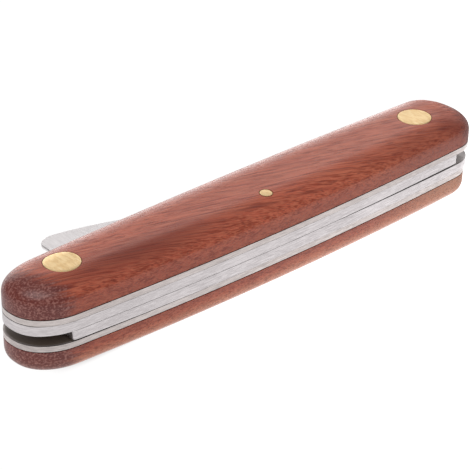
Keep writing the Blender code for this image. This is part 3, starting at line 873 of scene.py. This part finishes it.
# painted light from the white floor on the lower scale's underside: heights where it starts and where it is
# full
PAINTED_FLOOR_BOUNCE_HEIGHTS = (4.4 * MM, 2.4 * MM)
WOOD_IOR = 1.4
WOOD_ROUGHNESS = 0.24
PORE_DULLNESS = 0.15
DRY_END_DULLNESS = 0.4
END_GRAIN_DULLNESS = 0.06
WOOD_RELIEF = 0.1
PORE_DEPTH = 0.04 * MM

# Wood patterns: cell in mm along X, Y and Z, detail, and the noise values that become 0 and 1. Single fibres
# of about 0.02 mm are too fine to show, so the threads and the specks of the end grain are drawn coarser.
WOOD_PATTERNS = {
    "bands": ((60.0, 6.0, 6.0), 2.0, 0.35, 0.65),
    "streaks": ((18.0, 0.5, 0.5), 2.0, 0.4, 0.64),
    "threads": ((8.0, 0.2, 0.2), 1.0, 0.38, 0.64),
    "pores": ((4.0, 0.16, 0.16), 0.0, 0.56, 0.7),
    "specks": ((0.42, 0.32, 0.32), 2.0, 0.44, 0.68),
}

# Dark growth in the upper scale: middle x and y, half length and half breadth in mm, turn in degrees, amount
DARK_GROWTH = (
    (-30.0, -5.0, 30.0, 5.5, -2.0, 0.65),
    (40.0, -7.5, 24.0, 5.0, -3.0, 0.35),
    (-32.0, -4.9, 18.0, 0.8, -3.0, 0.55),
    (-5.0, -6.2, 9.0, 0.6, -9.0, 0.6),
    (8.0, -7.6, 8.0, 0.5, -6.0, 0.45),
    (45.0, -6.0, 9.0, 1.0, -5.0, 0.6),
    (48.0, -6.5, 10.0, 5.5, -5.0, 0.6),
)
GROWTH_DEPTH = 9.0 * MM

# Metals: dark, middle and light colour, cells of lines and grain in mm along X, Y and Z, and roughness. Real
# grit lines are about 0.02 mm wide, too fine to show, so the lines are drawn coarser.
EDGE_CELLS = ((9.0, 9.0, 0.14), (1.4, 1.4, 0.16))
BLADE_CELLS = ((0.14, 10.0, 10.0), (0.3, 2.5, 2.5))
BRASS_CELLS = ((0.14, 6.0, 6.0), (0.35, 1.2, 1.2))
METALS = {
    # Liner edges, belt-finished along the handle: soft grey with long lines
    "satin_liner_steel": (("#968e8d", "#b9b0ad", "#d5ccc9"), EDGE_CELLS, (0.32, 0.42)),
    # Spring backs, finished on the same belt: harder steel, a shade brighter
    "satin_spring_steel": (("#9c9697", "#bfb9ba", "#dcd6d7"), EDGE_CELLS, (0.32, 0.42)),
    # Blades, ground from spine to edge: bright, with lines across them
    "ground_blade_steel": (("#dbd5d5", "#e6e0e0", "#efebeb"), BLADE_CELLS, (0.3, 0.36)),
    # Rivets and pin, sanded level with the wood: pale warm yellow with short lines
    "satin_brass": (("#eabd7c", "#fdd89c", "#ffe6b8"), BRASS_CELLS, (0.34, 0.44)),
}
METAL_CLOUDS = (14.0, 14.0, 5.0)
LINE_RELIEF = 0.2
LINE_DEPTH = 0.006 * MM

# White table: its reach and drop under the knife, and its glow in front, behind, close by and underneath
TABLE_REACH = 4.0
TABLE_DROP = 0.05 * MM
TABLE_ROUGHNESS = 0.9
FRONT_GLOW = (1.0, 1.08)
FRONT_GLOW_REACH = (0.0, 110.0 * MM)
FRONT_GLOW_SLANT = -2.0
BACK_GLOW = (0.0, 2.4)
BACK_GLOW_REACH = (160.0 * MM, 280.0 * MM)
CLOSE_GLOW = (0.0, 0.5)
CLOSE_GLOW_X = (-45.0 * MM, 15.0 * MM)
CLOSE_GLOW_Y = (23.0 * MM, 12.0 * MM)
UNDER_GLOW = (0.1, 1.0)
UNDER_GLOW_X = (40.0 * MM, 50.0 * MM)
UNDER_GLOW_Y = (3.0 * MM, 7.0 * MM)


def linear(colour):
    """An sRGB hex colour as linear RGBA."""
    parts = [int(colour[place : place + 2], 16) / 255 for place in (1, 3, 5)]
    return tuple(p / 12.92 if p <= 0.04045 else ((p + 0.055) / 1.055) ** 2.4 for p in parts) + (1.0,)


def add(tree, kind, inputs=(), output=0, **settings):
    """Adds a node with its settings, and gives one of its outputs. Inputs go by name, or in the node's order.
    One that is a socket is linked, and any other value is set."""
    made = tree.nodes.new(f"ShaderNode{kind}")
    for name, value in settings.items():
        setattr(made, name, value)
    for key, value in inputs.items() if isinstance(inputs, dict) else enumerate(inputs):
        if isinstance(value, bpy.types.NodeSocket):
            tree.links.new(value, made.inputs[key])
        else:
            made.inputs[key].default_value = value
    return made.outputs[output]


def new_finish(name):
    """A finish that is still plain, with its node tree and its shader."""
    finish = bpy.data.materials.new(name)
    finish.use_nodes = True
    tree = finish.node_tree
    return finish, tree, tree.nodes["Principled BSDF"]


def patterns(tree, place, sizes):
    """A noise share from 0 to 1 for each row of sizes: cell sizes in mm along X, Y and Z, detail, and the two
    noise values that become 0 and 1."""
    shares = {}
    for name, (cell, detail, low, high) in sizes.items():
        scale = {"Vector": place, "Scale": [size * MM for size in cell]}
        cells = add(tree, "Mapping", scale, vector_type="TEXTURE")
        noise = add(tree, "TexNoise", {"Vector": cells, "Scale": 1.0, "Detail": detail}, "Fac")
        limits = (noise, low, high)
        shares[name] = add(tree, "MapRange", limits, interpolation_type="SMOOTHSTEP")
    return shares


def layered(tree, ground, layers):
    """A ground colour with each layer's colour mixed over it by its share and amount."""
    for share, amount, colour in layers:
        part = add(tree, "Math", (share, amount), operation="MULTIPLY")
        inputs = {0: part, 6: ground, 7: linear(colour)}
        ground = add(tree, "Mix", inputs, 2, data_type="RGBA")
    return ground


def swayed_place(tree):
    """Object place, moved to and fro across the handle by a slow noise, so that the grain wanders."""
    place = add(tree, "TexCoord", output="Object")
    slow = {"Vector": place, "Scale": SWAY_CELL}
    cells = add(tree, "Mapping", slow, vector_type="TEXTURE")
    noise = add(tree, "TexNoise", {"Vector": cells, "Scale": 1.0}, "Color")
    centred = add(tree, "VectorMath", (noise, (0.5, 0.5, 0.5)), operation="SUBTRACT")
    moving = (centred, (0.0, FIBRE_SWAY, FIBRE_SWAY), place)
    return add(tree, "VectorMath", moving, operation="MULTIPLY_ADD")


def growth_share(tree, place):
    """Share of dark growth at a place: the largest of several spindles that fade out from their middle."""
    growth = 0.0
    for x, y, half_length, half_breadth, degrees, amount in DARK_GROWTH:
        spindle = {
            "Vector": place,
            "Location": (x * MM, y * MM, UPPER_HIGH.z),
            "Rotation": (0.0, 0.0, math.radians(degrees)),
            "Scale": (half_length * MM, half_breadth * MM, GROWTH_DEPTH),
        }
        unit = add(tree, "Mapping", spindle, vector_type="TEXTURE")
        away = add(tree, "VectorMath", (unit,), "Value", operation="LENGTH")
        limits = (away, 1.0, 0.0, 0.0, amount)
        inside = add(tree, "MapRange", limits, interpolation_type="SMOOTHSTEP")
        growth = add(tree, "Math", (growth, inside), operation="MAXIMUM")
    return growth


def end_grain_share(tree, parts, streaks):
    """Share of end grain: a smooth step in the distance from mid length, slanted across the handle and ragged
    where streaks run into it."""
    from_middle = add(tree, "Math", (parts["X"], END_GRAIN_MIDDLE), operation="SUBTRACT")
    from_middle = add(tree, "Math", (from_middle,), operation="ABSOLUTE")
    slanting = (parts["Y"], END_GRAIN_SLANT, from_middle)
    slanted = add(tree, "Math", slanting, operation="MULTIPLY_ADD")
    ragging = (streaks, END_GRAIN_RAGGEDNESS, slanted)
    reach = add(tree, "Math", ragging, operation="MULTIPLY_ADD")
    start, full = (RIGHT_END - depth for depth in END_GRAIN_DEPTHS)
    limits = (reach, start, full)
    return add(tree, "MapRange", limits, interpolation_type="SMOOTHSTEP")


def oiled_rosewood():
    """Sanded and oiled rosewood.

    The eye sees red-brown fibres at a small angle to the handle, with soft bands, dark growth and short open
    pores. The end grain is dark and speckled, and the right end is drier and duller. Painted shade darkens the
    walls beside the liners, mostly on the upper scale. The lower scale has a painted shadow under its liner,
    painted light from the floor on its underside, and pale sapwood at its right end. The oil leaves a soft
    sheen.
    """
    finish, tree, shader = new_finish(WOOD_FINISH)
    place = swayed_place(tree)
    turning = {"Vector": place, "Rotation": (0.0, FIBRE_DIP, FIBRE_TURN)}
    fibres = add(tree, "Mapping", turning, vector_type="TEXTURE")
    share = patterns(tree, fibres, WOOD_PATTERNS)
    parts = add(tree, "SeparateXYZ", (place,)).node.outputs
    end_grain = end_grain_share(tree, parts, share["streaks"])
    end_specks = add(tree, "Math", (share["specks"], end_grain), operation="MULTIPLY")
    height = add(tree, "Math", (parts["Z"], MIDDLE_Z), operation="SUBTRACT")
    height = add(tree, "Math", (height,), operation="ABSOLUTE")
    below = add(tree, "Math", (parts["Z"], MIDDLE_Z), operation="LESS_THAN")
    # the painted shade on the walls is weaker on the lower scale
    fading = (below, -LOWER_WALL_SHADE_FADE, 1.0)
    wall_shade_share = add(tree, "Math", fading, operation="MULTIPLY_ADD")
    for name, value, limits, top in (
        ("painted_wall_shade", height, PAINTED_WALL_SHADE_HEIGHTS, wall_shade_share),
        ("painted_lip_shadow", height, PAINTED_LIP_SHADOW_HEIGHTS, below),
        ("dry_end", parts["X"], DRY_END_X, 1.0),
        ("pale_end", parts["X"], SAPWOOD_X, below),
    ):
        step = (value, *limits, 0.0, top)
        share[name] = add(tree, "MapRange", step, interpolation_type="SMOOTHSTEP")
    step = (parts["Y"], *SAPWOOD_Y, 0.0, share["pale_end"])
    sapwood = add(tree, "MapRange", step, interpolation_type="SMOOTHSTEP")
    heartwood = add(tree, "Math", (1.0, sapwood), operation="SUBTRACT")
    # painted light from the floor, paler towards the bottom of the lower scale, except on the sapwood
    step = (parts["Z"], *PAINTED_FLOOR_BOUNCE_HEIGHTS, 0.0, heartwood)
    painted_floor_bounce = add(tree, "MapRange", step, interpolation_type="SMOOTHSTEP")
    dark_ends = add(tree, "Math", (end_grain, heartwood), operation="MULTIPLY")
    ground = layered(tree, linear("#bd5e47"), [
        (share["bands"], 0.6, "#c26b4f"),
        (share["streaks"], 0.7, "#84311f"),
        (share["threads"], 0.6, "#cd765a"),
        (growth_share(tree, place), 1.0, "#602622"),
        # painted shade on the walls beside the liners
        (share["painted_wall_shade"], 0.36, "#6a1f0c"),
        # painted shadow under the lower liner
        (share["painted_lip_shadow"], 0.35, "#6e2b24"),
        (sapwood, 0.65, "#bd8a6a"),
        # painted light from the floor on the underside
        (painted_floor_bounce, 0.28, "#c9a283"),
        (share["pores"], 0.5, "#6e2b21"),
        (dark_ends, 0.85, "#5c2727"),
        (end_specks, 0.65, "#b07a70"),
    ])
    tree.links.new(ground, shader.inputs["Base Color"])
    roughness = WOOD_ROUGHNESS
    for duller, amount in (
        (share["pores"], PORE_DULLNESS),
        (share["dry_end"], DRY_END_DULLNESS),
        (end_grain, END_GRAIN_DULLNESS),
    ):
        dulling = (duller, amount, roughness)
        roughness = add(tree, "Math", dulling, operation="MULTIPLY_ADD")
    tree.links.new(roughness, shader.inputs["Roughness"])
    sinking = (share["pores"], -1.0, share["threads"])
    relief = add(tree, "Math", sinking, operation="MULTIPLY_ADD")
    bump = {"Height": relief, "Strength": WOOD_RELIEF, "Distance": PORE_DEPTH}
    tree.links.new(add(tree, "Bump", bump), shader.inputs["Normal"])
    shader.inputs["IOR"].default_value = WOOD_IOR
    return finish


def satin_metal(name, colours, cells, roughness):
    """Belt-finished metal: the eye sees fine pale parallel lines, a darker grain that dulls it, and faint
    pale clouds. Painted shade, with old oil, darkens the faces inside the handle, and hides the metal there."""
    finish, tree, shader = new_finish(name)
    line_cell, grain_cell = cells
    place = add(tree, "TexCoord", output="Object")
    share = patterns(tree, place, {
        "lines": (line_cell, 3.0, 0.36, 0.64),
        "grain": (grain_cell, 2.0, 0.35, 0.65),
        "clouds": (METAL_CLOUDS, 1.0, 0.35, 0.65),
    })
    # oil: painted shade with old oil, read from each piece
    oil = add(tree, "Attribute", output="Fac", attribute_name="oil_and_painted_shade")
    dark, middle, light = colours
    ground = layered(tree, linear(middle), [
        (share["lines"], 0.7, light),
        (share["grain"], 0.45, dark),
        (share["clouds"], 0.3, light),
        # painted shade, with old oil, inside the handle
        (oil, 0.95, "#5a4c40"),
    ])
    tree.links.new(ground, shader.inputs["Base Color"])
    dulling = (share["grain"], 0.0, 1.0, *roughness)
    tree.links.new(add(tree, "MapRange", dulling), shader.inputs["Roughness"])
    bump = {"Height": share["lines"], "Strength": LINE_RELIEF, "Distance": LINE_DEPTH}
    tree.links.new(add(tree, "Bump", bump), shader.inputs["Normal"])
    # the painted shade, with old oil, is not metal
    bare = add(tree, "Math", (1.0, oil), operation="SUBTRACT")
    tree.links.new(bare, shader.inputs["Metallic"])
    return finish


def light_floor():
    """White acrylic sheet lit from below, as a product table.

    The eye sees plain white. Its light is a little stronger in front, strongest behind and to the right, and
    stronger in a strip beside the knife that grows to the right. Under the knife it is dim.
    """
    finish, tree, shader = new_finish("white_acrylic_table")
    place = add(tree, "TexCoord", output="Object")
    parts = add(tree, "SeparateXYZ", (place,)).node.outputs
    slanting = (parts["Y"], FRONT_GLOW_SLANT, parts["X"])
    nearer = add(tree, "Math", slanting, operation="MULTIPLY_ADD")
    front = (nearer, *FRONT_GLOW_REACH, *FRONT_GLOW)
    front_glow = add(tree, "MapRange", front, interpolation_type="SMOOTHSTEP")
    diagonal = add(tree, "Math", (parts["X"], parts["Y"]), operation="ADD")
    behind = (diagonal, *BACK_GLOW_REACH, *BACK_GLOW)
    back_glow = add(tree, "MapRange", behind, interpolation_type="SMOOTHSTEP")
    glow = add(tree, "Math", (front_glow, back_glow), operation="ADD")
    aside = add(tree, "Math", (parts["Y"],), operation="ABSOLUTE")
    growing = (parts["X"], *CLOSE_GLOW_X, *CLOSE_GLOW)
    along = add(tree, "MapRange", growing, interpolation_type="SMOOTHSTEP")
    close = (aside, *CLOSE_GLOW_Y, 0.0, along)
    close_glow = add(tree, "MapRange", close, interpolation_type="SMOOTHSTEP")
    glow = add(tree, "Math", (glow, close_glow), operation="ADD")
    lengthwise = add(tree, "Math", (parts["X"],), operation="ABSOLUTE")
    ends = (lengthwise, *UNDER_GLOW_X, *UNDER_GLOW)
    end_light = add(tree, "MapRange", ends, interpolation_type="SMOOTHSTEP")
    under = (aside, *UNDER_GLOW_Y, end_light, 1.0)
    open_share = add(tree, "MapRange", under, interpolation_type="SMOOTHSTEP")
    glow = add(tree, "Math", (glow, open_share), operation="MULTIPLY")
    tree.links.new(glow, shader.inputs["Emission Strength"])
    shader.inputs["Base Color"].default_value = linear("#303030")
    shader.inputs["Roughness"].default_value = TABLE_ROUGHNESS
    shader.inputs["Emission Color"].default_value = linear("#ffffff")
    return finish


# Stage: floor, lights and camera

# Softboxes: place and size in metres, radiance, and the only finishes that a light falls on, if not all
WOOD_FINISHES = (WOOD_FINISH,)
METAL_FINISHES = tuple(METALS)
SOFTBOXES = {
    "back_light": ((1.6, 1.8, 0.85), (4.0, 1.6), 0.85),
    "low_back_light": ((1.5, 1.7, 0.32), (4.0, 0.6), 0.45),
    "top_light": ((-0.45, -0.06, 1.3), (0.9, 0.9), 3.7, WOOD_FINISHES),
    "overhead_sheet": ((-0.8, -0.3, 1.6), (3.2, 3.2), 0.6, METAL_FINISHES),
    "front_light": ((0.8, -2.2, 0.95), (4.0, 1.6), 0.6, METAL_FINISHES),
}
FILL_STRENGTH = 0.3


def add_softbox(name, place, size, radiance, finishes=()):
    """Rectangular light of a given radiance, aimed at the middle of the knife. When finishes are named, it
    falls only on the pieces that have them, as a lamp with a flag in front of it does."""
    light = bpy.data.lights.new(name, "AREA")
    light.shape = "RECTANGLE"
    light.size, light.size_y = size
    light.energy = radiance * math.pi * size[0] * size[1]
    box = bpy.data.objects.new(name, light)
    box.visible_camera = False
    box.location = place
    box.rotation_euler = (-Vector(place)).to_track_quat("-Z", "Y").to_euler()
    bpy.context.scene.collection.objects.link(box)
    if finishes:
        lit = bpy.data.collections.new(f"{name}_pieces")
        for piece in bpy.data.objects:
            if piece.active_material and piece.active_material.name in finishes:
                lit.objects.link(piece)
        box.light_linking.receiver_collection = lit


def make_stage():
    """White table under the knife and even fill all round."""
    x, y = np.meshgrid([-TABLE_REACH, TABLE_REACH], [-TABLE_REACH, TABLE_REACH])
    floor = shape("table", open_grids=[np.stack([x, y, np.full_like(x, -TABLE_DROP)], axis=-1)])
    floor.data.materials.append(light_floor())
    world = bpy.data.worlds.new("studio_fill")
    world.use_nodes = True
    fill = world.node_tree.nodes["Background"]
    fill.inputs["Color"].default_value = linear("#ffffff")
    fill.inputs["Strength"].default_value = FILL_STRENGTH
    scene = bpy.context.scene
    scene.world = world
    scene.view_settings.view_transform = "Standard"


def make_lights():
    """Low wide softboxes behind the knife and one overhead. The overhead one is kept off the metal, which
    would mirror it as plain white. The metal has a broad dim sheet overhead and a wide softbox in front."""
    for name, values in SOFTBOXES.items():
        add_softbox(name, *values)


def make_camera():
    """Camera at the photograph's place, turned so that its axes are the picture's right and top."""
    lens = bpy.data.cameras.new("photograph_view")
    lens.lens = CAMERA_LENS
    lens.sensor_width = CAMERA_SENSOR
    lens.clip_start = CAMERA_CLIP_START
    camera = bpy.data.objects.new("photograph_view", lens)
    right = CAMERA_RIGHT.normalized()
    up = (CAMERA_UP - right * CAMERA_UP.dot(right)).normalized()
    axes = Matrix((right, up, right.cross(up))).transposed()
    camera.matrix_world = Matrix.Translation(CAMERA_PLACE) @ axes.to_4x4()
    bpy.context.scene.collection.objects.link(camera)
    bpy.context.scene.camera = camera


def make_knife():
    """Every piece of the knife in its finish, from the scales to the pin."""
    wood = oiled_rosewood()
    metals = {name: satin_metal(name, *values) for name, values in METALS.items()}
    liner_steel = metals["satin_liner_steel"]
    spring_steel = metals["satin_spring_steel"]
    blade_steel = metals["ground_blade_steel"]
    brass = metals["satin_brass"]
    make_scale("upper_scale_wood", 1, RIGHT_END, wood)
    make_scale("lower_scale_wood", -1, LOWER_RIGHT_END, wood)
    make_liner("upper_liner_plate", 1, RIGHT_END, liner_steel)
    make_liner("lower_liner_plate", -1, LOWER_RIGHT_END, liner_steel)
    make_spring("budding_spring_bar", -1, budding_spring_faces, RIGHT_END, spring_steel)
    grafting_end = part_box("grafting_spring")[1].x
    make_spring("grafting_spring_bar", 1, grafting_spring_faces, grafting_end, spring_steel)
    make_blade("budding_blade_ground", -1, 1, BUDDING_FORM, blade_steel)
    make_blade("grafting_blade_ground", 1, -1, GRAFTING_FORM, blade_steel)
    make_rivet("budding_rivet", PIVOT_X, brass)
    make_rivet("grafting_rivet", -PIVOT_X, brass)
    make_pin("spring_pin_brass", brass)


make_stage()
make_camera()
make_knife()
make_lights()
